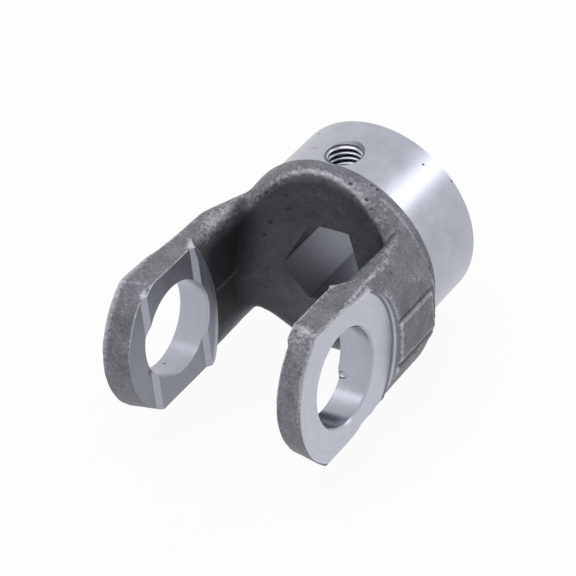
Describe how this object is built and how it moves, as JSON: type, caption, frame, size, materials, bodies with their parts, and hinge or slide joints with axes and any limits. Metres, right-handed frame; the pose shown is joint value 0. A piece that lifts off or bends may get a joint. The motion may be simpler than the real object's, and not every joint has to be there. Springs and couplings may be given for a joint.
{
  "type": "forged yoke",
  "caption": "Forged universal joint yoke with two bored ears, a turned hub with a hexagonal shaft bore and a tapped set screw hole.",
  "frame": {"origin": "centre of the joint, where the axis of the cross bore meets the axis of the shaft", "axes": "+X along the cross bore, +Y along the shaft axis from the ears towards the hub, +Z out through the set screw hole"},
  "size_m": [0.0784, 0.1103, 0.071],
  "materials": {
    "forged_steel": "as forged, with machined faces and bores"
  },
  "bodies": {
    "root": {"yoke": "forged_steel"}
  },
  "joints": []
}
